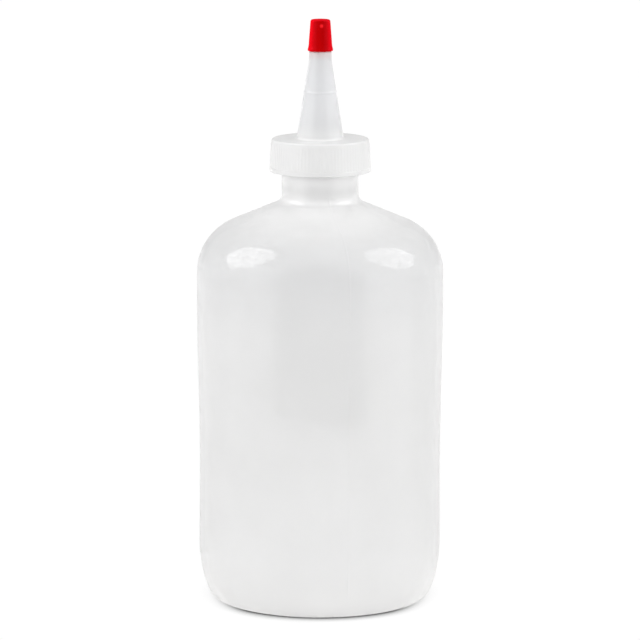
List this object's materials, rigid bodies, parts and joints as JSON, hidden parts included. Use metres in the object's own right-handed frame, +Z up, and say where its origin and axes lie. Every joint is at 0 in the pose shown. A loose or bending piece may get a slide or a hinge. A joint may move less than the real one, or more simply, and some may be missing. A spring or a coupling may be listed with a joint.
{
  "type": "glue applicator bottle",
  "caption": "Round milky squeeze bottle with a broad shoulder, a ribbed screw cap that carries a tapered spout, and a red push-on tip cap",
  "frame": {"origin": "centre of the flat ring that the bottle stands on", "axes": "+Z is up, along the bottle's axis towards the tip; +X and +Y are level. The body is round, so only the screw threads and the ribs tell the directions around the axis apart"},
  "size_m": [0.0776, 0.0776, 0.1831],
  "materials": {
    "bottle_plastic": "milky translucent low-density polyethylene, softly glossy",
    "liner_foam": "white closed-cell foam, matt",
    "cap_plastic": "natural moulded low-density polyethylene, softly glossy",
    "red_plastic": "red moulded plastic, glossy"
  },
  "bodies": {
    "bottle": {"bottle": "bottle_plastic"},
    "liner": {"sealing_liner": "liner_foam"},
    "cap": {"spout_cap": "cap_plastic"},
    "tip": {"tip_cap": "red_plastic"}
  },
  "joints": [
    {"name": "cap_lift", "type": "slide", "parent": "bottle", "child": "liner", "axis": [0, 0, 1], "range_m": [0, 0.00423]},
    {"name": "cap_turn", "type": "hinge", "parent": "liner", "child": "cap", "pos_m": [0, 0, 0.14], "axis": [0, 0, 1], "range_deg": [0, 360]},
    {"name": "tip_pull", "type": "slide", "parent": "cap", "child": "tip", "axis": [0, 0, 1], "range_m": [0, 0.012]}
  ],
  "couplings": [
    {"joint": "cap_turn", "follows": "cap_lift", "rad_per_m": 1484.3}
  ]
}
